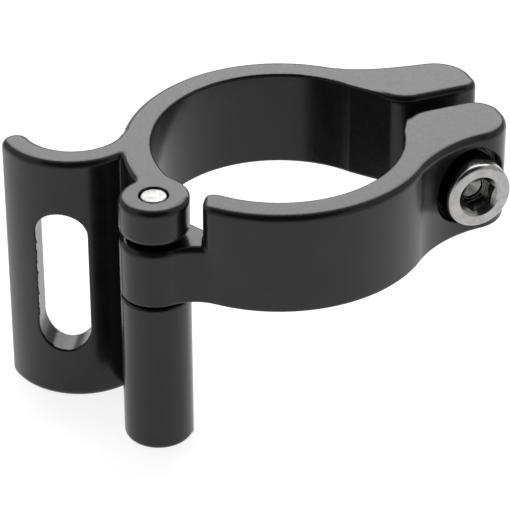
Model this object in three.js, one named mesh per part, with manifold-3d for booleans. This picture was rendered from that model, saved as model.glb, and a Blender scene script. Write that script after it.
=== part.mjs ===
// Hinged clamp band for a bicycle seat tube, with a slotted plate that carries a front derailleur.
// Millimetres. Z runs up along the seat tube, X runs along the slotted plate, and the origin is
// on the tube's axis, 6.8 mm below the top of the band.
import * as THREE from 'three';
import Module from 'manifold-3d';
import { mergeVertices } from 'three/addons/utils/BufferGeometryUtils.js';

const wasm = await Module();
wasm.setup();

// ---------------------------------------------------------------- driving dimensions
const TUBE_R = 15.9; // 31.8 mm seat tube
const WALL = 3.8;
const BAND_R = TUBE_R + WALL;
const TOP = 6.8;
const BODY_BASE = -6.5; // lower edge of the body's band
const ARM_BASE = -7.15;
const FOOT = TOP - 35.7; // lower end of the plate and of the hinge post
const GAP = 0.3; // running gap between pieces

// Hinge: knuckle of the body, knuckle of the arm, then the post, all of one radius.
const HINGE = new THREE.Vector2(-13.27, -16.4);
const KNUCKLE_R = 4.4;
const ARM_HINGE_TOP = TOP - 5.9;
const KNUCKLE_GAP = 0.75; // between the arm's shelf and the body's knuckle
const PIN_R = 1.7;
const PIN_HOLE_R = PIN_R + GAP;
const PIN_LENGTH = 21;
const PIN_RECESS = 0.1;
const KNUCKLE_ROUNDING = 0.9; // lower edge of the body's knuckle, above the arm
const POST_ROUNDING = 0.8;
const HINGE_FILLET_R = 6; // blends the arm's knuckle into its band

// The band is true to the tube from TRUE_START to TRUE_END and eases outward towards the hinge.
const TRUE_START = THREE.MathUtils.degToRad(62.3);
const TRUE_END = THREE.MathUtils.degToRad(143.3);
const RELIEF_INSIDE = 1.3;
const RELIEF_OUTSIDE = 1.7;

// Arm: full height up to a step that clears the body's knuckle.
const STEP_ANGLE = THREE.MathUtils.degToRad(8.7);
const STEP_DISTANCE = 6.05;
const STEP_CORNER_R = 1.8;

// Ears: drawn with x along the ears and y across the gap, then turned by EAR_ANGLE.
const EAR_ANGLE = THREE.MathUtils.degToRad(30);
const REAR_END = 29.5;
const FRONT_END = 29.1;
const REAR_FACE = 2.6;
const FRONT_FACE = -0.46;
const REAR_BACK = 11.05;
const FRONT_BACK = -9.75;

// Clamp bolt, M5 x 16 with a 4 mm hexagon socket, and its washer.
const BOLT_X = 22.2;
const HEAD_FACE = -12.95;
const HEAD_R = 4.3;
const HEAD_H = 5;
const HEAD_CHAMFER = 0.4;
const SHANK_R = 2.5;
const SHANK_LENGTH = 16;
const SOCKET_ACROSS = 4.1;
const SOCKET_DEPTH = 2.6;
const SOCKET_MOUTH_R = 2.75;
const SOCKET_MOUTH_DEPTH = 0.4;
const WASHER_R = 4.7;
const WASHER_H = 0.7;
const SEAT_GAP = 0.2;
const POCKET_R = 5.25;
const BOLT_HOLE_R = SHANK_R + GAP;

// As the bolt backs out, the arm swings open. Both are in proportion, so the tapped hole is eased
// outward along the path that the shank takes until its end has left the ear.
const OPEN_SWING = THREE.MathUtils.degToRad(90);
const OPEN_TRAVEL = 6;
const EXIT_SWING = THREE.MathUtils.degToRad(8);
const EXIT_STEPS = 6;

// Slotted plate: a bent strip between two arcs, with a round free edge.
const PLATE_X = -26.45;
const OUTER_Y = -1.1;
const OUTER_R = 9.75;
const INNER_Y = -0.45;
const INNER_R = 6.5;
const EDGE_ANGLE = THREE.MathUtils.degToRad(215);
const OUTER_END = THREE.MathUtils.degToRad(330);
const INNER_END = THREE.MathUtils.degToRad(345);
const NECK_START = THREE.MathUtils.degToRad(186); // the neck joins plate and post below the band
const SLOT_X = -26.6;
const SLOT_WIDTH = 6.8;
const SLOT_TOP = -0.85;
const SLOT_BOTTOM = -21.55;

const ARC_STEP = THREE.MathUtils.degToRad(5);
const ROUND_SEGMENTS = 40;
const FAR = 60;

const HINGE_ANGLE = 2 * Math.PI + Math.atan2(HINGE.y, HINGE.x);
const ORIGIN = new THREE.Vector2(0, 0);

// ---------------------------------------------------------------- outlines
function onCircle(radius, angle, centre = ORIGIN) {
  return new THREE.Vector2(centre.x + radius * Math.cos(angle), centre.y + radius * Math.sin(angle));
}

// Points along an arc; it turns clockwise when `to` is less than `from`.
function arc(centre, radius, from, to) {
  const count = Math.max(2, Math.ceil(Math.abs(to - from) / ARC_STEP));
  return Array.from({ length: count + 1 }, (_, i) => (
    onCircle(radius, from + ((to - from) * i) / count, centre)));
}

function curve(from, control1, control2, to) {
  return new THREE.CubicBezierCurve(from, control1, control2, to).getPoints(8);
}

function point(x, y) {
  return new THREE.Vector2(x, y);
}

// ---------------------------------------------------------------- solids
function toSolid(geometry) {
  geometry.deleteAttribute('normal');
  geometry.deleteAttribute('uv');
  const welded = mergeVertices(geometry, 1e-5);
  return new wasm.Manifold(new wasm.Mesh({
    numProp: 3,
    vertProperties: new Float32Array(welded.attributes.position.array),
    triVerts: new Uint32Array(welded.index.array),
  }));
}

function toMesh(name, solid, material) {
  const result = solid.getMesh();
  const geometry = new THREE.BufferGeometry();
  geometry.setAttribute('position', new THREE.BufferAttribute(result.vertProperties, 3));
  geometry.setIndex(new THREE.BufferAttribute(result.triVerts, 1));
  geometry.computeVertexNormals();
  const mesh = new THREE.Mesh(geometry, material);
  mesh.name = name;
  return mesh;
}

// The outline without points that fall on the one before them.
function extruded(points, depth) {
  const kept = points.filter((p, i) => p.distanceTo(points.at(i - 1)) > 1e-3);
  return new THREE.ExtrudeGeometry(new THREE.Shape(kept), { depth, bevelEnabled: false, steps: 1 });
}

// An outline in the XY plane, raised from z0 to z1 and turned about Z.
function prism(points, z0, z1, turn = 0) {
  return toSolid(extruded(points, z1 - z0).translate(0, 0, z0).rotateZ(turn));
}

function disc(centre, radius, z0, z1) {
  return prism(arc(centre, radius, 0, 2 * Math.PI), z0, z1);
}

// A turned profile of [radius, height] points, with its axis on the vertical line through centre.
function turned(points, centre) {
  const profile = points.map(([radius, height]) => point(radius, height));
  const geometry = new THREE.LatheGeometry(profile, ROUND_SEGMENTS);
  return toSolid(geometry.rotateX(Math.PI / 2).translate(centre.x, centre.y, 0));
}

// A turned profile lying on the bolt's axis: heights run from the gap towards the bolt's head.
function alongBolt(points, segments = ROUND_SEGMENTS) {
  const profile = points.map(([radius, height]) => point(radius, height));
  const geometry = new THREE.LatheGeometry(profile, segments).rotateX(Math.PI);
  return toSolid(geometry.translate(BOLT_X, 0, 0).rotateZ(EAR_ANGLE));
}

function boltBore(radius, from, to, segments = ROUND_SEGMENTS) {
  return alongBolt([[0, from], [radius, from], [radius, to], [0, to]], segments);
}

// ---------------------------------------------------------------- body: band and rear ear
// An arc about a centre set so that it touches the true circle at TRUE_END and drifts outward past it.
function easedArc(radius, ease, from, to) {
  return arc(onCircle(-ease, TRUE_END), radius + ease, from, to);
}

// From the rear ear round to the hinge, still solid towards the tube.
function rearBandOutline() {
  return [
    point(0, 0), onCircle(BAND_R, TRUE_START),
    ...arc(ORIGIN, BAND_R, THREE.MathUtils.degToRad(82), TRUE_END),
    ...easedArc(BAND_R, RELIEF_OUTSIDE, TRUE_END, NECK_START),
    ...easedArc(BAND_R, RELIEF_OUTSIDE, NECK_START, HINGE_ANGLE),
  ];
}

// The neck's inner face stands a little behind the band's.
function neckOutline() {
  return [
    ...easedArc(BAND_R, RELIEF_OUTSIDE, NECK_START, HINGE_ANGLE),
    ...easedArc(TUBE_R + 0.05, RELIEF_INSIDE, HINGE_ANGLE, NECK_START),
  ];
}

// The bore, with its eased stretch on the hinge side.
function boreOutline() {
  const easedEnd = HINGE_ANGLE + 0.4;
  return [
    ...arc(ORIGIN, TUBE_R, easedEnd - 2 * Math.PI, TRUE_END),
    ...easedArc(TUBE_R, RELIEF_INSIDE, TRUE_END, easedEnd),
  ];
}

function rearEarOutline() {
  const lead = 4.5;
  const tip = 5;
  const lip = 2.2;
  return [
    onCircle(TUBE_R - 2, TRUE_START - EAR_ANGLE),
    onCircle(TUBE_R, TRUE_START - EAR_ANGLE),
    ...arc(point(20.5, REAR_FACE + lead), lead, Math.PI * 1.22, Math.PI * 1.5),
    ...arc(point(REAR_END - lip, REAR_FACE + lip), lip, -Math.PI / 2, 0),
    ...arc(point(REAR_END - tip, REAR_BACK - tip), tip, 0, Math.PI * 0.46),
    ...curve(
      onCircle(tip, Math.PI * 0.46, point(REAR_END - tip, REAR_BACK - tip)),
      point(18.5, 11.9), point(15.2, 12.9), onCircle(BAND_R, THREE.MathUtils.degToRad(52)),
    ),
    onCircle(TUBE_R - 2, THREE.MathUtils.degToRad(52)),
  ];
}

// ---------------------------------------------------------------- body: slotted plate
// The strip between the outer and the inner arc; its free edge is a circle that touches both.
function plateOutline() {
  const outer = point(PLATE_X, OUTER_Y);
  const inner = point(PLATE_X, INNER_Y);
  const shift = OUTER_Y - INNER_Y;
  const lean = shift * Math.sin(EDGE_ANGLE);
  const edgeR = (shift ** 2 + 2 * OUTER_R * lean + OUTER_R ** 2 - INNER_R ** 2)
    / (2 * (lean + OUTER_R + INNER_R));
  const edge = onCircle(OUTER_R - edgeR, EDGE_ANGLE, outer);
  const inward = inner.clone().sub(edge).angle();
  return [
    ...arc(outer, OUTER_R, EDGE_ANGLE, OUTER_END),
    onCircle(BAND_R - 1, INNER_END - Math.PI + 0.3),
    ...arc(inner, INNER_R, INNER_END, inward + Math.PI),
    ...arc(edge, edgeR, inward, EDGE_ANGLE),
  ];
}

// A round-ended slot that runs along Z and opens along Y.
function slotCutter() {
  const radius = SLOT_WIDTH / 2;
  const outline = [
    ...arc(point(SLOT_X, SLOT_TOP - radius), radius, 0, Math.PI),
    ...arc(point(SLOT_X, SLOT_BOTTOM + radius), radius, Math.PI, 2 * Math.PI),
  ];
  return toSolid(extruded(outline, FAR).rotateX(Math.PI / 2));
}

// ---------------------------------------------------------------- body: knuckle and post
// Stands on the hinge's axis, with a quarter-round lower edge.
function hingePost(z0, z1, rounding) {
  const steps = 5;
  const edge = Array.from({ length: steps + 1 }, (_, i) => {
    const turn = (i / steps) * (Math.PI / 2);
    return [KNUCKLE_R - rounding * (1 - Math.sin(turn)), z0 + rounding * (1 - Math.cos(turn))];
  });
  return turned([[0, z0], ...edge, [KNUCKLE_R, z1], [0, z1]], HINGE);
}

// ---------------------------------------------------------------- arm
// Knuckle, the fillet outside it, band and front ear in one outline, drawn in the ears' frame.
function armOutline() {
  const hinge = HINGE.clone().rotateAround(ORIGIN, -EAR_ANGLE);
  const hingeAngle = HINGE_ANGLE - EAR_ANGLE;
  const fillet = filletCentre(hinge);
  const boreEnd = 2 * Math.PI - THREE.MathUtils.degToRad(17);
  const earStart = 2 * Math.PI - THREE.MathUtils.degToRad(47);
  const lead = 4.2;
  const lip = 3.6;
  const tip = 5;
  return [
    ...arc(ORIGIN, TUBE_R, boreEnd, hingeAngle),
    ...arc(hinge, KNUCKLE_R, hingeAngle - Math.PI, fillet.clone().sub(hinge).angle()),
    ...arc(fillet, HINGE_FILLET_R, hinge.clone().sub(fillet).angle(), fillet.angle() - Math.PI),
    ...arc(ORIGIN, BAND_R, fillet.angle(), earStart),
    ...curve(onCircle(BAND_R, earStart), point(15.9, -11.9), point(20, -9.9), point(FRONT_END - tip, FRONT_BACK)),
    ...arc(point(FRONT_END - tip, FRONT_BACK + tip), tip, -Math.PI / 2, 0),
    ...arc(point(FRONT_END - lip, FRONT_FACE - lip), lip, 0, Math.PI / 2),
    ...arc(point(20, FRONT_FACE - lead), lead, Math.PI / 2, (Math.PI * 5) / 6),
  ];
}

// The centre of the arc that touches both the arm's knuckle and the outside of its band.
function filletCentre(hinge) {
  const span = hinge.length();
  const toBand = BAND_R + HINGE_FILLET_R;
  const toKnuckle = KNUCKLE_R + HINGE_FILLET_R;
  const along = (toBand ** 2 - toKnuckle ** 2 + span ** 2) / (2 * span);
  return onCircle(toBand, hinge.angle() + Math.acos(along / toBand));
}

// Takes the arm down to its shelf next to the hinge; drawn with x across the step.
function stepCutter() {
  const face = HINGE.dot(onCircle(1, STEP_ANGLE)) + STEP_DISTANCE;
  const centreX = face + STEP_CORNER_R;
  const innerAngle = Math.acos(centreX / (TUBE_R + STEP_CORNER_R));
  const outerAngle = Math.acos(centreX / (BAND_R - STEP_CORNER_R));
  const inner = onCircle(TUBE_R + STEP_CORNER_R, -innerAngle);
  const outer = onCircle(BAND_R - STEP_CORNER_R, -outerAngle);
  const short = 0.2; // stops each corner before it grazes the band's faces
  const outerCorner = arc(outer, STEP_CORNER_R, 2 * Math.PI - outerAngle - short, Math.PI);
  const innerCorner = arc(inner, STEP_CORNER_R, Math.PI, Math.PI - innerAngle + short);
  const outline = [
    point(-FAR, -FAR), point(outerCorner[0].x, -FAR), ...outerCorner,
    ...innerCorner, onCircle(TUBE_R - 1, -innerAngle), point(face, 0), point(-FAR, 0),
  ];
  return prism(outline, ARM_HINGE_TOP, TOP + 1, STEP_ANGLE);
}

// ---------------------------------------------------------------- bolt path
function swungAboutHinge(solid, angle) {
  return solid.translate([-HINGE.x, -HINGE.y, 0])
    .rotate([0, 0, THREE.MathUtils.radToDeg(angle)])
    .translate([HINGE.x, HINGE.y, 0]);
}

// The space that the shank sweeps in the rear ear while the arm opens.
function shankSweep() {
  const end = HEAD_FACE + HEAD_H + SHANK_LENGTH + GAP;
  let sweep = boltBore(BOLT_HOLE_R, -FAR / 2, 0, 24);
  for (let i = 1; i <= EXIT_STEPS; i += 1) {
    const swing = (EXIT_SWING * i) / EXIT_STEPS;
    const travel = (OPEN_TRAVEL * swing) / OPEN_SWING;
    sweep = sweep.add(swungAboutHinge(boltBore(BOLT_HOLE_R, travel - end, 0, 24), -swing));
  }
  return sweep;
}

// ---------------------------------------------------------------- pieces
function clampBody() {
  const knuckleBase = ARM_HINGE_TOP + KNUCKLE_GAP;
  return prism(rearBandOutline(), BODY_BASE, TOP)
    .add(prism(rearEarOutline(), BODY_BASE, TOP, EAR_ANGLE))
    .add(prism(plateOutline(), FOOT, TOP))
    .add(prism(neckOutline(), FOOT, TOP))
    .subtract(disc(HINGE, KNUCKLE_R + GAP, ARM_BASE - GAP, knuckleBase))
    .add(hingePost(knuckleBase, TOP, KNUCKLE_ROUNDING))
    .add(hingePost(FOOT, ARM_BASE - GAP, POST_ROUNDING))
    .subtract(prism(boreOutline(), ARM_BASE - GAP, TOP + 1))
    .subtract(slotCutter())
    .subtract(shankSweep())
    .subtract(disc(HINGE, PIN_HOLE_R, TOP - PIN_LENGTH - 1, TOP + 1));
}

function hingeArm() {
  const seat = -HEAD_FACE - HEAD_H - 2 * SEAT_GAP - WASHER_H;
  return prism(armOutline(), ARM_BASE, TOP, EAR_ANGLE)
    .subtract(stepCutter())
    .subtract(boltBore(POCKET_R, seat, FAR / 2))
    .subtract(boltBore(BOLT_HOLE_R, -FAR / 2, FAR / 2))
    .subtract(disc(HINGE, PIN_HOLE_R, ARM_BASE - 1, TOP + 1));
}

function hingePin() {
  const top = TOP - PIN_RECESS;
  const foot = TOP - PIN_LENGTH;
  const rounding = 0.3;
  return turned([
    [0, foot], [PIN_R - rounding, foot], [PIN_R, foot + rounding],
    [PIN_R, top - rounding], [PIN_R - rounding, top], [0, top],
  ], HINGE);
}

function clampBolt() {
  const face = -HEAD_FACE;
  const seat = face - HEAD_H;
  const end = seat - SHANK_LENGTH;
  const tipChamfer = 0.5;
  const outside = alongBolt([
    [0, end], [SHANK_R - tipChamfer, end], [SHANK_R, end + tipChamfer], [SHANK_R, seat],
    [HEAD_R, seat], [HEAD_R, face - HEAD_CHAMFER], [HEAD_R - HEAD_CHAMFER, face], [0, face],
  ]);
  const mouth = alongBolt([
    [0, face - SOCKET_MOUTH_DEPTH - SOCKET_MOUTH_R], [SOCKET_MOUTH_R, face - SOCKET_MOUTH_DEPTH],
    [SOCKET_MOUTH_R + SOCKET_MOUTH_DEPTH, face + 0.01], [0, face + 0.01],
  ]);
  const socket = boltBore(SOCKET_ACROSS / Math.sqrt(3), face - SOCKET_DEPTH, face + 1, 6);
  return outside.subtract(mouth).subtract(socket);
}

function boltWasher() {
  const seat = -HEAD_FACE - HEAD_H - SEAT_GAP;
  return alongBolt([
    [BOLT_HOLE_R, seat - WASHER_H], [WASHER_R, seat - WASHER_H],
    [WASHER_R, seat], [BOLT_HOLE_R, seat], [BOLT_HOLE_R, seat - WASHER_H],
  ]);
}

// ---------------------------------------------------------------- assembly
const blackAnodised = new THREE.MeshStandardMaterial({ color: 0x1b1b1c, roughness: 0.3, metalness: 0.4 });
const brightSteel = new THREE.MeshStandardMaterial({ color: 0xc4c4c2, roughness: 0.3, metalness: 1 });

const part = new THREE.Group();
part.add(
  toMesh('clamp_body', clampBody(), blackAnodised),
  toMesh('hinge_arm', hingeArm(), blackAnodised),
  toMesh('hinge_pin', hingePin(), brightSteel),
  toMesh('clamp_bolt', clampBolt(), brightSteel),
  toMesh('bolt_washer', boltWasher(), brightSteel),
);

export default part;
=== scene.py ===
"""Looks of a hinged seat tube clamp with a slotted derailleur plate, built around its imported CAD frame.

The pieces are carved from distance fields. Each solid is a function that says how far a point is
from its surface, so every rim and junction gets its own small radius. Lengths are in millimetres
until a mesh is made.
"""
import math

import bpy
import numpy as np
from mathutils import Matrix, Vector


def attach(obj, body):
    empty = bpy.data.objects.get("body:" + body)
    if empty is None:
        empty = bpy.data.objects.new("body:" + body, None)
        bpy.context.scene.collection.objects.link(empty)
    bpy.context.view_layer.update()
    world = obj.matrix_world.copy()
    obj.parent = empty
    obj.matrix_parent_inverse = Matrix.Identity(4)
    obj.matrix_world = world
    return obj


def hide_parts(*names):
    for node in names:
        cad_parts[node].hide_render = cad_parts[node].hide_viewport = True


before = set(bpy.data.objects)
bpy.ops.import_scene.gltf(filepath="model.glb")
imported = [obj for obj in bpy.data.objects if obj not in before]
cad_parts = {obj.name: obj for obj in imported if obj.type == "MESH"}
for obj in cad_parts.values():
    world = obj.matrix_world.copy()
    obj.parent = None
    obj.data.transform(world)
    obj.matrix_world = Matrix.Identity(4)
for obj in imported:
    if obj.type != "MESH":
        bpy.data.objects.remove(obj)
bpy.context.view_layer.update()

MM = 0.001

# ---------------------------------------------------------------- dimensions
# These follow the CAD, except that the hinge's knuckle and pin hole, the screw's place and head,
# the washer and the recess round the head are up to 0.2 mm different.
TUBE_R = 15.9
BAND_R = 19.7
TOP = 6.8
BODY_BASE = -6.5
ARM_BASE = -7.15
FOOT = -28.9
GAP = 0.3
HINGE = np.array([-13.27, -16.4])
KNUCKLE_R = 4.47
ARM_TOP = 0.9  # top of the arm's shelf and knuckle
KNUCKLE_GAP = 0.75
PIN_R = 1.7
PIN_HOLE_R = 1.84
PIN_FOOT = TOP - 21.0
TRUE_START = math.radians(62.3)
TRUE_END = math.radians(143.3)
RELIEF_INSIDE = 1.3
RELIEF_OUTSIDE = 1.7
STEP_ANGLE = math.radians(8.7)
STEP_DISTANCE = 6.05
EAR_ANGLE = math.radians(30)
REAR_END = 29.5
FRONT_END = 29.1
REAR_FACE = 2.6
FRONT_FACE = -0.46
REAR_BACK = 11.05
FRONT_BACK = -9.75
BOLT_X = 22.3
HEAD_FACE = 12.95
HEAD_R = 4.42
HEAD_H = 5.0
SHANK_R = 2.5
SHANK_LENGTH = 16.0
THREAD_PITCH = 0.8
SOCKET_ACROSS = 4.1
SOCKET_DEPTH = 2.6
SOCKET_MOUTH_R = 2.85
DRILL_R = 1.6
SOCKET_TURN = math.radians(46)
WASHER_R = 4.5
WASHER_H = 0.7
SEAT_GAP = 0.2
POCKET_R = 5.2
BOLT_HOLE_R = 2.8
PLATE_X = -26.45
OUTER_Y = -1.1
OUTER_R = 9.75
INNER_Y = -0.45
INNER_R = 6.5
EDGE_ANGLE = math.radians(215)
SLOT_X = -26.6
SLOT_WIDTH = 6.8
SLOT_TOP = -0.85
SLOT_BOTTOM = -21.55
NECK_START = math.radians(186)
HINGE_FILLET_R = 6.0

RIM = 0.95  # radius of the outer rims
BORE_RIM = 0.35
FOOT_RIM = 1.0
BAND_FOOT_RIM = 0.6
ARM_FOOT_RIM = 0.45
CAST_FILLET = 0.5  # where band, plate, neck and knuckle meet
LEDGE_FILLET = 0.4  # where the band ends above the tall spine
SHELF_FILLET = 0.35
STEP_RIM = 1.1  # upright edge of the arm's step, outside
STEP_BORE_RIM = 2.3  # and next to the bore
HEAD_RIM = 0.62
SWING_CLEAR = 8  # degrees of swing before the shank has left the rear ear's hole
SHANK_TRAVEL = 6  # withdrawn over the full swing
FULL_SWING = 90
TURN = 2 * math.pi
HINGE_ANGLE = TURN + math.atan2(HINGE[1], HINGE[0])
EAR_COS, EAR_SIN = math.cos(EAR_ANGLE), math.sin(EAR_ANGLE)


# ---------------------------------------------------------------- plane distance fields
def on_circle(radius, angle, centre=(0.0, 0.0)):
    return np.array([centre[0] + radius * math.cos(angle), centre[1] + radius * math.sin(angle)])


class Arc:
    """Part of a circle, from one angle to another; clockwise when the second is smaller."""

    def __init__(self, centre, radius, start, end):
        self.centre, self.radius, self.start, self.end = np.array(centre, float), radius, start, end
        self.ends = [on_circle(radius, a, centre) for a in (start, end)]
        self.side = 1.0 if end > start else -1.0

    def measure(self, x, y):
        dx, dy = x - self.centre[0], y - self.centre[1]
        reach = np.hypot(dx, dy)
        low, span = min(self.start, self.end), abs(self.end - self.start)
        inside = np.mod(np.arctan2(dy, dx) - low, TURN) <= span
        near = np.abs(reach - self.radius)
        offset = (reach - self.radius) * self.side
        gaps, slants = [], []
        for end, angle in zip(self.ends, (self.start, self.end)):
            ex, ey = x - end[0], y - end[1]
            gaps.append(np.hypot(ex, ey))
            slants.append((ex * math.cos(angle) + ey * math.sin(angle)) * self.side)
        first = gaps[0] <= gaps[1]
        end_gap = np.where(first, gaps[0], gaps[1])
        end_slant = np.where(first, slants[0], slants[1])
        return np.where(inside, near, end_gap), np.where(inside, offset, end_slant)


class Line:
    """Straight piece between two points; the solid lies on its left."""

    def __init__(self, start, end):
        self.ends = [np.array(start, float), np.array(end, float)]

    def measure(self, x, y):
        (ax, ay), (bx, by) = self.ends
        length = math.hypot(bx - ax, by - ay)
        ux, uy = (bx - ax) / length, (by - ay) / length
        dx, dy = x - ax, y - ay
        along = np.clip(dx * ux + dy * uy, 0, length)
        offset = dx * uy - dy * ux
        return np.hypot(dx - along * ux, dy - along * uy), offset


def outline(*parts):
    """A closed outline, counter-clockwise, of arcs and corner points; straight pieces join them."""
    pieces = []
    ends = [(p.ends[0], p.ends[1]) if isinstance(p, Arc) else (np.array(p, float),) * 2 for p in parts]
    for i, part in enumerate(parts):
        if isinstance(part, Arc):
            pieces.append(part)
        here, there = ends[i][1], ends[(i + 1) % len(parts)][0]
        if np.hypot(*(there - here)) > 1e-6:
            pieces.append(Line(here, there))

    def field(x, y):
        best, key, out = None, None, None
        for piece in pieces:
            gap, offset = piece.measure(x, y)
            rank = gap - 1e-6 * np.abs(offset)
            if best is None:
                best, key, out = gap, rank, offset
            else:
                closer = rank < key
                best = np.where(closer, gap, best)
                key = np.where(closer, rank, key)
                out = np.where(closer, offset, out)
        return np.where(out > 0, best, -best)

    return field


def bezier(p0, p1, p2, p3, count=60):
    """Points of a cubic curve from p0 to p3."""
    t = np.linspace(0, 1, count + 1)[:, None]
    p0, p1, p2, p3 = (np.array(p, float) for p in (p0, p1, p2, p3))
    return list((1 - t) ** 3 * p0 + 3 * (1 - t) ** 2 * t * p1 + 3 * (1 - t) * t ** 2 * p2 + t ** 3 * p3)


def turned_in(field, angle):
    """The field as drawn in a frame turned by angle about Z."""
    c, s = math.cos(angle), math.sin(angle)
    return lambda x, y: field(c * x + s * y, c * y - s * x)


def disc(centre, radius):
    return lambda x, y: np.hypot(x - centre[0], y - centre[1]) - radius


# ---------------------------------------------------------------- joining fields
def either(a, b, r):
    """Union with a fillet of radius r."""
    return np.maximum(r, np.minimum(a, b)) - np.hypot(np.maximum(r - a, 0), np.maximum(r - b, 0))


def both(a, b, r):
    """Intersection with an edge of radius r."""
    return np.minimum(-r, np.maximum(a, b)) + np.hypot(np.maximum(r + a, 0), np.maximum(r + b, 0))


def between(z, low, high):
    """A slab."""
    return np.maximum(low - z, z - high)


def step_up(x, low, high):
    """0 below low, 1 above high, smooth between."""
    t = np.clip((x - low) / (high - low), 0, 1)
    return t * t * (3 - 2 * t)


# ---------------------------------------------------------------- plan outlines
def eased(radius, ease, start, end):
    """An arc that leaves the round of that radius gently at TRUE_END."""
    return Arc(on_circle(-ease, TRUE_END), radius + ease, start, end)


def rear_outline():
    """Rear ear and band, filled in to the tube's axis."""
    lead, tip, lip = 4.5, 5.0, 2.2

    def turned(p):
        return (EAR_COS * p[0] - EAR_SIN * p[1], EAR_SIN * p[0] + EAR_COS * p[1])

    def arc(centre, radius, start, end):
        return Arc(turned(centre), radius, start + EAR_ANGLE, end + EAR_ANGLE)

    tip_centre = (REAR_END - tip, REAR_BACK - tip)
    back = bezier(on_circle(tip, math.pi * 0.46, tip_centre), (18.5, 11.9), (15.2, 12.9),
                  on_circle(BAND_R, math.radians(52)))
    return outline(
        (0, 0), tuple(on_circle(TUBE_R, TRUE_START)),
        arc((20.5, REAR_FACE + lead), lead, math.pi * 1.22, math.pi * 1.5),
        arc((REAR_END - lip, REAR_FACE + lip), lip, -math.pi / 2, 0),
        arc(tip_centre, tip, 0, math.pi * 0.46),
        *[turned(p) for p in back[1:-1]],
        Arc((0, 0), BAND_R, math.radians(82), TRUE_END),
        eased(BAND_R, RELIEF_OUTSIDE, TRUE_END, HINGE_ANGLE),
    )


def bore_outline():
    end = HINGE_ANGLE + 0.4
    return outline(
        Arc((0, 0), TUBE_R, end - TURN, TRUE_END),
        eased(TUBE_R, RELIEF_INSIDE, TRUE_END, end),
    )


def neck_outline():
    return outline(
        eased(BAND_R, RELIEF_OUTSIDE, NECK_START, HINGE_ANGLE),
        eased(TUBE_R, RELIEF_INSIDE, HINGE_ANGLE, NECK_START),
    )


def plate_outline():
    outer, inner = (PLATE_X, OUTER_Y), (PLATE_X, INNER_Y)
    shift = OUTER_Y - INNER_Y
    lean = shift * math.sin(EDGE_ANGLE)
    edge_r = (shift ** 2 + 2 * OUTER_R * lean + OUTER_R ** 2 - INNER_R ** 2) / (
        2 * (lean + OUTER_R + INNER_R))
    edge = on_circle(OUTER_R - edge_r, EDGE_ANGLE, outer)
    inward = math.atan2(inner[1] - edge[1], inner[0] - edge[0])
    return outline(
        Arc(outer, OUTER_R, EDGE_ANGLE, math.radians(330)),
        tuple(on_circle(BAND_R - 1, math.radians(182.2))),
        Arc(inner, INNER_R, math.radians(345), inward + math.pi),
        Arc(edge, edge_r, inward, EDGE_ANGLE),
    )


def arm_outline():
    """Arm's knuckle, the fillet outside it, band and front ear, in the ears' frame."""
    hinge = np.array([EAR_COS * HINGE[0] + EAR_SIN * HINGE[1], EAR_COS * HINGE[1] - EAR_SIN * HINGE[0]])
    hinge_angle = HINGE_ANGLE - EAR_ANGLE
    span = np.hypot(*hinge)
    to_band, to_knuckle = BAND_R + HINGE_FILLET_R, KNUCKLE_R + HINGE_FILLET_R
    along = (to_band ** 2 - to_knuckle ** 2 + span ** 2) / (2 * span)
    fillet_angle = hinge_angle + math.acos(along / to_band)
    fillet = on_circle(to_band, fillet_angle)
    to_fillet = math.atan2(fillet[1] - hinge[1], fillet[0] - hinge[0]) % TURN
    lead, lip, tip = 4.2, 3.6, 5.0
    ear_start = math.radians(313)
    ear = bezier(on_circle(BAND_R, ear_start), (15.9, -11.9), (20, -9.9), (FRONT_END - tip, FRONT_BACK))
    return outline(
        Arc((0, 0), TUBE_R, math.radians(343), hinge_angle),
        Arc(hinge, KNUCKLE_R, hinge_angle - math.pi, to_fillet),
        Arc(fillet, HINGE_FILLET_R, to_fillet - math.pi, fillet_angle - math.pi),
        Arc((0, 0), BAND_R, fillet_angle, ear_start),
        *[tuple(p) for p in ear[1:]],
        Arc((FRONT_END - tip, FRONT_BACK + tip), tip, -math.pi / 2, 0),
        Arc((FRONT_END - lip, FRONT_FACE - lip), lip, 0, math.pi / 2),
        Arc((20.0, FRONT_FACE - lead), lead, math.pi / 2, math.radians(150)),
    )


REAR, BORE, NECK, PLATE = rear_outline(), bore_outline(), neck_outline(), plate_outline()
ARM = turned_in(arm_outline(), EAR_ANGLE)
KNUCKLE = disc(HINGE, KNUCKLE_R)


# ---------------------------------------------------------------- solids
def along_bolt(x, y, z):
    """Distance from the bolt's axis, and height along it towards the head."""
    across, height = EAR_COS * x + EAR_SIN * y - BOLT_X, EAR_SIN * x - EAR_COS * y
    return np.hypot(across, z), height


def prism(plan, z, low, high, low_r, high_r):
    """A plan raised from low to high, with a radius for the edges at each end."""
    upper = z > (low + high) / 2
    edge = np.where(upper, high_r, low_r)
    return both(plan, between(z, low, high), edge)


def rim_by(bore, outer):
    """Small next to the bore, and the outer radius from the middle of the wall outwards."""
    return BORE_RIM + (outer - BORE_RIM) * step_up(bore, 0.8, 2.0)


def shank_path(x, y, z):
    """The hole that the shank needs in the rear ear while bolt and arm swing out together."""
    tip = HEAD_FACE - HEAD_H - SHANK_LENGTH - GAP
    radius, height = along_bolt(x, y, z)
    path = np.maximum(radius - BOLT_HOLE_R, height)
    for swing in np.linspace(0, SWING_CLEAR, 7)[1:]:
        angle = math.radians(swing)
        c, s = math.cos(angle), math.sin(angle)
        dx, dy = x - HINGE[0], y - HINGE[1]
        radius, height = along_bolt(HINGE[0] + c * dx - s * dy, HINGE[1] + s * dx + c * dy, z)
        reach = np.maximum(tip + SHANK_TRAVEL * swing / FULL_SWING - height, height)
        path = np.minimum(path, np.maximum(radius - BOLT_HOLE_R, reach))
    return path


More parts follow.
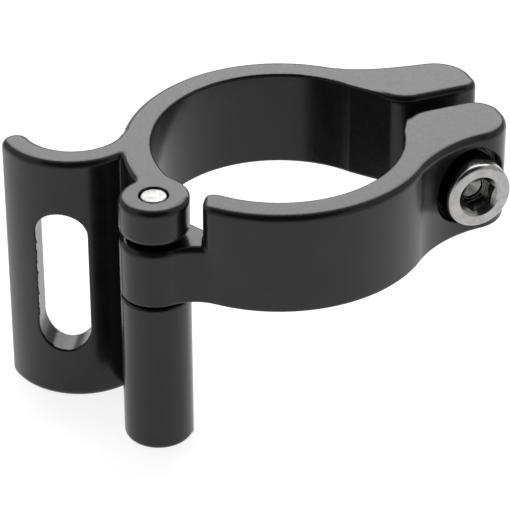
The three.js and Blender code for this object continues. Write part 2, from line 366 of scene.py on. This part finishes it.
def burr(z):
    """How far the slot's uneven edge stands into it, along the plate's front surface."""
    return 0.12 + 0.04 * np.sin(4.1 * z) + 0.05 * np.sin(2.3 * z + 1.0) + 0.04 * np.sin(7.9 * z + 2.0)


def clamp_body(x, y, z):
    bore, knuckle, plate = BORE(x, y), KNUCKLE(x, y), PLATE(x, y)
    band = either(np.maximum(either(REAR(x, y), plate, CAST_FILLET), -bore), knuckle, CAST_FILLET)
    spine = either(either(NECK(x, y), plate, CAST_FILLET), knuckle, CAST_FILLET)
    rim = rim_by(bore, RIM)
    foot_r = rim_by(bore, FOOT_RIM) - 0.2 * step_up(-knuckle, -1.5, 0)
    top_part = prism(band, z, BODY_BASE, TOP, low_r=rim_by(bore, BAND_FOOT_RIM), high_r=rim)
    tall_part = prism(spine, z, FOOT, TOP, low_r=foot_r, high_r=rim)
    bounds = prism(band, z, FOOT, TOP, low_r=foot_r, high_r=rim)
    solid = np.maximum(either(top_part, tall_part, LEDGE_FILLET), bounds)
    room = between(z, ARM_BASE - 0.2, ARM_TOP + KNUCKLE_GAP)
    room = np.maximum(disc(HINGE, KNUCKLE_R + GAP)(x, y), room)
    solid = both(solid, -room, 0.45 + 0.65 * step_up(z, -3, -1.5))
    slot_y = np.abs(z - (SLOT_TOP + SLOT_BOTTOM) / 2) - ((SLOT_TOP - SLOT_BOTTOM) - SLOT_WIDTH) / 2
    slot = np.hypot(x - SLOT_X, np.maximum(slot_y, 0)) - SLOT_WIDTH / 2
    front = disc((PLATE_X, OUTER_Y), OUTER_R)(x, y)
    rough = step_up(SLOT_X - 2.4 - x, 0, 0.5) * step_up(-slot_y, 0.2, 1.5) * step_up(front, -0.8, -0.1)
    slot = slot + burr(z) * rough
    solid = both(solid, -slot, 0.3)
    pin_hole = np.maximum(disc(HINGE, PIN_HOLE_R)(x, y), PIN_FOOT - 1 - z)
    solid = both(solid, -pin_hole, 0.15)
    return both(solid, -shank_path(x, y, z), 0.2)


def hinge_arm(x, y, z):
    plan = ARM(x, y)
    bore = np.hypot(x, y) - TUBE_R
    step = HINGE[0] * math.cos(STEP_ANGLE) + HINGE[1] * math.sin(STEP_ANGLE) + STEP_DISTANCE
    beyond = step - x * math.cos(STEP_ANGLE) - y * math.sin(STEP_ANGLE)
    rim, low_rim = rim_by(bore, RIM), rim_by(bore, ARM_FOOT_RIM)
    low_part = prism(plan, z, ARM_BASE, ARM_TOP, low_r=low_rim, high_r=rim)
    high_plan = np.maximum(both(plan, beyond, STEP_RIM), both(-bore, beyond, STEP_BORE_RIM))
    high_part = prism(high_plan, z, ARM_BASE, TOP, low_r=low_rim, high_r=rim)
    bounds = prism(plan, z, ARM_BASE, TOP, low_r=low_rim, high_r=rim)
    solid = np.maximum(either(low_part, high_part, SHELF_FILLET), bounds)
    radius, height = along_bolt(x, y, z)
    floor = HEAD_FACE - HEAD_H - 2 * SEAT_GAP - WASHER_H
    solid = both(solid, -np.maximum(radius - POCKET_R, floor - height), 0.3)
    solid = both(solid, BOLT_HOLE_R - radius, 0.2)
    return both(solid, PIN_HOLE_R - np.hypot(x - HINGE[0], y - HINGE[1]), 0.12)


def clamp_bolt(x, y, z):
    """Drawn on its own axis: z is the height along the bolt."""
    radius, angle = np.hypot(x, y), np.arctan2(y, x)
    seat = HEAD_FACE - HEAD_H
    tip = seat - SHANK_LENGTH
    head = both(radius - HEAD_R, between(z, seat, HEAD_FACE), HEAD_RIM)
    turn = np.mod(z / THREAD_PITCH - angle / TURN, 1.0)
    tooth = 0.62 * THREAD_PITCH * 0.5 * np.abs(2 * turn - 1)
    fade = step_up(z, seat - 1.6, seat - 0.6)
    shank = radius - (SHANK_R - tooth * (1 - fade))
    shank = both(shank * 0.85, between(z, tip, seat + 1), 0.45)
    solid = either(head, shank, 0.2)
    flats = np.full(np.broadcast(x, y).shape, -99.0)
    for k in range(3):
        a = k * math.pi / 3 + SOCKET_TURN
        flats = np.maximum(flats, np.abs(x * math.cos(a) + y * math.sin(a)) - SOCKET_ACROSS / 2)
    hexagon = np.maximum(flats, HEAD_FACE - SOCKET_DEPTH - z)
    drilled = np.maximum(radius - DRILL_R, HEAD_FACE - SOCKET_DEPTH - 0.5 - 0.5 * (DRILL_R - radius) - z)
    mouth = 0.7 * (radius - SOCKET_MOUTH_R + HEAD_FACE - z)
    solid = np.maximum(solid, -np.minimum(hexagon, drilled))
    return both(solid, -mouth, 0.08)


# ---------------------------------------------------------------- meshes from fields
CORNERS = [(i, j, k) for i in (0, 1) for j in (0, 1) for k in (0, 1)]
EDGES = [(a, b) for a in range(8) for b in range(a + 1, 8)
         if sum(abs(p - q) for p, q in zip(CORNERS[a], CORNERS[b])) == 1]


def gradient(field, p, reach=0.004):
    """The field's direction of steepest rise at each point, and its slope."""
    g = np.empty_like(p)
    for axis in range(3):
        shift = np.zeros(3)
        shift[axis] = reach
        g[:, axis] = field(*(p + shift).T) - field(*(p - shift).T)
    size = np.linalg.norm(g, axis=1)
    return g / np.maximum(size[:, None], 1e-9), size / (2 * reach)


def carve(name, field, low, high, pitch, place=None):
    """A closed mesh of the field's zero surface, one vertex in each cell that the surface crosses."""
    low = np.array(low, float)
    count = [int(math.ceil((h - l) / pitch)) + 1 for l, h in zip(low, high)]
    axes = [low[i] + pitch * np.arange(count[i]) for i in range(3)]
    grid = np.asarray(field(axes[0][:, None, None], axes[1][None, :, None], axes[2][None, None, :]))
    solid = grid < 0
    mixed = np.zeros([n - 1 for n in count], bool)
    first = solid[:-1, :-1, :-1]
    for i, j, k in CORNERS[1:]:
        mixed |= solid[i:count[0] - 1 + i, j:count[1] - 1 + j, k:count[2] - 1 + k] != first
    cells = np.argwhere(mixed)
    index = np.full(mixed.shape, -1)
    index[tuple(cells.T)] = np.arange(len(cells))
    values = np.stack([grid[tuple((cells + c).T)] for c in CORNERS], 1)
    total, hits = np.zeros((len(cells), 3)), np.zeros(len(cells))
    for a, b in EDGES:
        va, vb = values[:, a], values[:, b]
        crossing = (va < 0) != (vb < 0)
        share = np.where(crossing, va / np.where(crossing, va - vb, 1), 0)
        point = np.array(CORNERS[a]) + share[:, None] * (np.array(CORNERS[b]) - np.array(CORNERS[a]))
        total += np.where(crossing[:, None], point, 0)
        hits += crossing
    points = low + pitch * (cells + total / hits[:, None])
    quads = []
    for axis in range(3):
        u, v = (axis + 1) % 3, (axis + 2) % 3
        ahead = [slice(None)] * 3
        behind = [slice(None)] * 3
        ahead[axis], behind[axis] = slice(1, None), slice(None, -1)
        a, b = solid[tuple(behind)], solid[tuple(ahead)]
        for outward in (True, False):
            where = np.argwhere((a & ~b) if outward else (~a & b))
            ring = []
            for du, dv in ((0, 0), (1, 0), (1, 1), (0, 1)):
                cell = where.copy()
                cell[:, u] += du - 1
                cell[:, v] += dv - 1
                ring.append(index[tuple(cell.T)])
            ring = np.stack(ring, 1)
            quads.append(ring if outward else ring[:, ::-1])
    quads = np.concatenate(quads)
    for _ in range(3):
        normal, slope = gradient(field, points)
        miss = field(*points.T) / np.maximum(slope, 0.3)
        points -= np.clip(miss, -pitch / 2, pitch / 2)[:, None] * normal
    normal, _ = gradient(field, points)
    if place is not None:
        points = points @ np.array(place.to_3x3()).T + np.array(place.translation)
        normal = normal @ np.array(place.to_3x3()).T
    mesh = bpy.data.meshes.new(name)
    mesh.vertices.add(len(points))
    mesh.vertices.foreach_set("co", (points * MM).astype(np.float32).ravel())
    mesh.loops.add(quads.size)
    mesh.loops.foreach_set("vertex_index", quads.astype(np.int32).ravel())
    mesh.polygons.add(len(quads))
    mesh.polygons.foreach_set("loop_start", np.arange(0, quads.size, 4, dtype=np.int32))
    mesh.polygons.foreach_set("loop_total", np.full(len(quads), 4, np.int32))
    mesh.update()
    mesh.polygons.foreach_set("use_smooth", np.ones(len(quads), bool))
    mesh.normals_split_custom_set_from_vertices(normal.tolist())
    mesh.update()
    piece = bpy.data.objects.new(name, mesh)
    bpy.context.scene.collection.objects.link(piece)
    return piece


# ---------------------------------------------------------------- turned pieces
def lathe(name, profile, place, segments=96):
    """A solid of revolution from [radius, height] points in millimetres, heights ascending."""
    verts, faces = [], []
    rings = []
    for radius, height in profile:
        if radius < 1e-6:
            rings.append([len(verts)])
            verts.append((0, 0, height))
            continue
        rings.append(list(range(len(verts), len(verts) + segments)))
        verts += [(*on_circle(radius, TURN * i / segments), height) for i in range(segments)]
    for low, high in zip(rings, rings[1:] + ([] if len(rings[0]) == 1 else rings[:1])):
        for i in range(segments):
            j = (i + 1) % segments
            if len(low) == 1:
                faces.append((low[0], high[j], high[i]))
            elif len(high) == 1:
                faces.append((low[i], low[j], high[0]))
            else:
                faces.append((low[i], low[j], high[j], high[i]))
    mesh = bpy.data.meshes.new(name)
    mesh.from_pydata([tuple(MM * c for c in place @ Vector(v)) for v in verts], [], faces)
    mesh.polygons.foreach_set("use_smooth", np.ones(len(faces), bool))
    piece = bpy.data.objects.new(name, mesh)
    bpy.context.scene.collection.objects.link(piece)
    return piece


def rounded(radius, height, r, up, steps=6):
    """Profile points of a quarter-round edge on a side of that radius, ending or starting at height."""
    points = []
    for i in range(steps + 1):
        t = math.pi / 2 * i / steps
        points.append((radius - r * (1 - math.cos(t)), height - r * (1 - math.sin(t))) if up
                      else (radius - r * (1 - math.sin(t)), height + r * (1 - math.cos(t))))
    return points


# ---------------------------------------------------------------- materials
PAINTED_SOCKET_SHADE = 0.62  # share of its colour that the socket's steel keeps under the painted shade
PAINTED_SHADE_DEPTH = 1.4


class Nodes:
    """Shorthand for building one material's nodes."""

    def __init__(self, name):
        self.material = bpy.data.materials.new(name)
        self.material.use_nodes = True
        self.tree = self.material.node_tree
        self.shader = self.tree.nodes["Principled BSDF"]
        self.place = self.add("ShaderNodeTexCoord").outputs["Object"]

    def add(self, kind, **values):
        node = self.tree.nodes.new(kind)
        for key, value in values.items():
            setattr(node, key, value)
        return node

    def link(self, a, b):
        self.tree.links.new(a, b)

    def noise(self, scale, detail, roughness=0.5):
        node = self.add("ShaderNodeTexNoise")
        node.inputs["Scale"].default_value = scale
        node.inputs["Detail"].default_value = detail
        node.inputs["Roughness"].default_value = roughness
        self.link(self.place, node.inputs["Vector"])
        return node.outputs["Fac"]

    def ramp(self, value, low, high, low_at=0.35, high_at=0.65):
        node = self.add("ShaderNodeValToRGB")
        ends = node.color_ramp.elements
        ends[0].position, ends[1].position = low_at, high_at
        ends[0].color = (*low, 1) if hasattr(low, "__len__") else (low, low, low, 1)
        ends[1].color = (*high, 1) if hasattr(high, "__len__") else (high, high, high, 1)
        self.link(value, node.inputs["Fac"])
        return node.outputs["Color"]

    def bump(self, value, distance, strength=1.0, under=None):
        node = self.add("ShaderNodeBump")
        node.inputs["Strength"].default_value = strength
        node.inputs["Distance"].default_value = distance
        self.link(value, node.inputs["Height"])
        if under:
            self.link(under, node.inputs["Normal"])
        return node.outputs["Normal"]


def black_anodised():
    n = Nodes("black_anodised")
    n.link(n.ramp(n.noise(350, 4), (0.0060, 0.0060, 0.0066), (0.0095, 0.0095, 0.0100)),
           n.shader.inputs["Base Color"])
    n.link(n.ramp(n.noise(2600, 5, roughness=0.7), 0.17, 0.27), n.shader.inputs["Roughness"])
    coarse = n.bump(n.noise(160, 2), 0.00002, 0.3)
    n.link(n.bump(n.noise(2600, 3), 0.000005, 0.9, coarse), n.shader.inputs["Normal"])
    n.shader.inputs["IOR"].default_value = 1.405
    return n


def bright_steel(name, low, high, roughness, scratch=0.3):
    n = Nodes(name)
    tint = n.ramp(n.noise(900, 4), (low, 0.985 * low, 0.97 * low), (high, 0.985 * high, 0.97 * high))
    n.link(tint, n.shader.inputs["Base Color"])
    n.link(n.ramp(n.noise(3000, 5, roughness=0.7), roughness - 0.06, roughness + 0.1),
           n.shader.inputs["Roughness"])
    n.link(n.bump(n.noise(2500, 4), 0.000004, scratch), n.shader.inputs["Normal"])
    n.shader.inputs["Metallic"].default_value = 1.0
    return n


def paint_socket_shade(n):
    """Paints shade into the screw's socket: inside a ball round its middle the steel's colour is
    darkened, standing in for the shade on its walls and floor.
    """
    tint = n.shader.inputs["Base Color"].links[0].from_socket
    span = n.add("ShaderNodeVectorMath", operation="DISTANCE")
    span.inputs[1].default_value = bolt_place @ Vector((0, 0, HEAD_FACE - PAINTED_SHADE_DEPTH)) * MM
    n.link(n.place, span.inputs[0])
    scale = n.add("ShaderNodeMath", operation="MULTIPLY")
    scale.inputs[1].default_value = 100.0  # to centimetres: a ramp only runs from 0 to 1
    n.link(span.outputs["Value"], scale.inputs[0])
    painted_shade = n.ramp(scale.outputs["Value"], PAINTED_SOCKET_SHADE, 1, 0.27, 0.29)
    mix = n.add("ShaderNodeMix", data_type="RGBA", blend_type="MULTIPLY")
    mix.inputs["Factor"].default_value = 1.0
    n.link(tint, mix.inputs[6])
    n.link(painted_shade, mix.inputs[7])
    n.link(mix.outputs[2], n.shader.inputs["Base Color"])


# ---------------------------------------------------------------- pieces
bolt_place = Matrix(((EAR_COS, 0, EAR_SIN, BOLT_X * EAR_COS), (EAR_SIN, 0, -EAR_COS, BOLT_X * EAR_SIN),
                     (0, 1, 0, 0), (0, 0, 0, 1)))
pin_place = Matrix.Translation((HINGE[0], HINGE[1], 0))
seat = HEAD_FACE - HEAD_H - SEAT_GAP

BODY_PITCH, ARM_PITCH, BOLT_PITCH = ((0.26, 0.24, 0.11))
body = carve("body_casting", clamp_body, (-36.6, -22, -29.6), (25, 24.4, 7.8), BODY_PITCH)
arm = carve("arm_casting", hinge_arm, (-18.6, -22, -8.2), (30, 14.8, 7.8), ARM_PITCH)
bolt = carve("socket_screw", clamp_bolt, (-4.9, -4.9, -8.7), (4.9, 4.9, 13.4), BOLT_PITCH, bolt_place)
pin_top = TOP - 0.1
pin = lathe("pin", [(0, PIN_FOOT),
                    *rounded(PIN_R, PIN_FOOT, 0.3, False),
                    *rounded(PIN_R, pin_top, 0.25, True),
                    (1.0, pin_top + 0.03), (0.5, pin_top + 0.05), (0, pin_top + 0.06)], pin_place)
washer = lathe("washer", [(BOLT_HOLE_R, seat - WASHER_H + 0.1), (BOLT_HOLE_R + 0.1, seat - WASHER_H),
                          *rounded(WASHER_R, seat - WASHER_H, 0.15, False, 3),
                          *rounded(WASHER_R, seat, 0.15, True, 3),
                          (BOLT_HOLE_R + 0.1, seat), (BOLT_HOLE_R, seat - 0.1)], bolt_place)

black = black_anodised()
steel = bright_steel("screw_steel", 0.32, 0.40, 0.16)
# painted shade in the screw's socket
paint_socket_shade(steel)
# the washer's steel is painted nearly black: painted shade for its place in the recess under the head
washer_painted_shade_steel = bright_steel("washer_painted_shade_steel", 0.07, 0.1, 0.3)
pin_steel = bright_steel("pin_steel", 0.18, 0.28, 0.26, 1.0)
for piece, node, rides_on, look, finish in (
    (body, "clamp_body", "clamp_body", black, "black_anodised"),
    (arm, "hinge_arm", "arm", black, "black_anodised"),
    (pin, "hinge_pin", "clamp_body", pin_steel, "bright_steel"),
    (bolt, "clamp_bolt", "bolt", steel, "bright_steel"),
    (washer, "bolt_washer", "washer", washer_painted_shade_steel, "bright_steel"),
):
    piece.data.materials.append(look.material)
    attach(piece, rides_on)
    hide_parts(node)

# ---------------------------------------------------------------- floor
FLOOR_HALF = 3.0  # metres
FLOOR_GAP = 0.05  # below the part's feet

floor_material = Nodes("floor")
floor_material.link(floor_material.ramp(floor_material.noise(30, 2), 0.44, 0.46),
                    floor_material.shader.inputs["Base Color"])
floor_material.shader.inputs["Emission Color"].default_value = (1, 1, 1, 1)
floor_material.shader.inputs["Emission Strength"].default_value = 0.84
floor_material.shader.inputs["Roughness"].default_value = 0.9
floor_material.shader.inputs["Specular IOR Level"].default_value = 0.0
floor_mesh = bpy.data.meshes.new("floor")
level = MM * (FOOT - FLOOR_GAP)
floor_corners = [(x * FLOOR_HALF, y * FLOOR_HALF, level) for x, y in ((-1, -1), (1, -1), (1, 1), (-1, 1))]
floor_mesh.from_pydata(floor_corners, [], [(0, 1, 2, 3)])
floor = bpy.data.objects.new("floor", floor_mesh)
floor_mesh.materials.append(floor_material.material)
bpy.context.scene.collection.objects.link(floor)

# ---------------------------------------------------------------- camera
AZIMUTH, ELEVATION, ROLL = math.radians(8.7), math.radians(32.7), math.radians(0.23)
CAMERA_AT = Vector((46.632, -325.553, 199.958))
SENSOR_WIDTH = 36.0
FOCAL_TO_WIDTH = 3000 / 510

camera_data = bpy.data.cameras.new("camera")
camera_data.sensor_width = SENSOR_WIDTH
camera_data.lens = FOCAL_TO_WIDTH * SENSOR_WIDTH
camera_data.clip_start, camera_data.clip_end = 0.01, 20.0
camera = bpy.data.objects.new("camera", camera_data)
facing = Matrix.Rotation(AZIMUTH, 3, "Z") @ Matrix.Rotation(math.pi / 2 - ELEVATION, 3, "X")
facing = facing @ Matrix.Rotation(-ROLL, 3, "Z")
camera.matrix_world = Matrix.Translation(CAMERA_AT * MM) @ facing.to_4x4()
bpy.context.scene.collection.objects.link(camera)
bpy.context.scene.camera = camera


# ---------------------------------------------------------------- light
SCREEN_AIM = (0.085, -0.556, 0.827)  # middle of the black screen
SCREEN_EDGE, SCREEN_CORE = math.radians(46), math.radians(34)  # it is full inside the core
PALE, DARK = 0.65, 0.03


def softbox(name, direction, distance, width, height, radiance):
    """A rectangular lamp aimed at the part, sized in metres."""
    data = bpy.data.lights.new(name, "AREA")
    data.shape = "RECTANGLE"
    data.size, data.size_y = width, height
    data.energy = radiance * math.pi * width * height
    lamp = bpy.data.objects.new(name, data)
    direction = Vector(direction).normalized()
    lamp.location = direction * distance
    lamp.rotation_euler = direction.to_track_quat("Z", "Y").to_euler()
    bpy.context.scene.collection.objects.link(lamp)


softbox("back_softbox", (-0.10, 0.75, 0.62), 1.0, 1.1, 0.62, 3.75)


def studio_world():
    """Pale all round, with a soft-edged black screen above the horizon on the camera's side."""
    world = bpy.data.worlds.new("studio")
    world.use_nodes = True
    tree = world.node_tree
    sky = tree.nodes.new("ShaderNodeTexCoord")
    aim = tree.nodes.new("ShaderNodeVectorMath")
    aim.operation = "DOT_PRODUCT"
    aim.inputs[1].default_value = SCREEN_AIM
    tree.links.new(sky.outputs["Generated"], aim.inputs[0])
    ramp = tree.nodes.new("ShaderNodeValToRGB")
    ends = ramp.color_ramp.elements
    ends[0].position, ends[1].position = math.cos(SCREEN_EDGE), math.cos(SCREEN_CORE)
    ends[0].color, ends[1].color = (PALE, PALE, PALE, 1), (DARK, DARK, DARK, 1)
    tree.links.new(aim.outputs["Value"], ramp.inputs["Fac"])
    tree.links.new(ramp.outputs["Color"], tree.nodes["Background"].inputs["Color"])
    return world


bpy.context.scene.world = studio_world()

bpy.context.scene.view_settings.view_transform = "Standard"
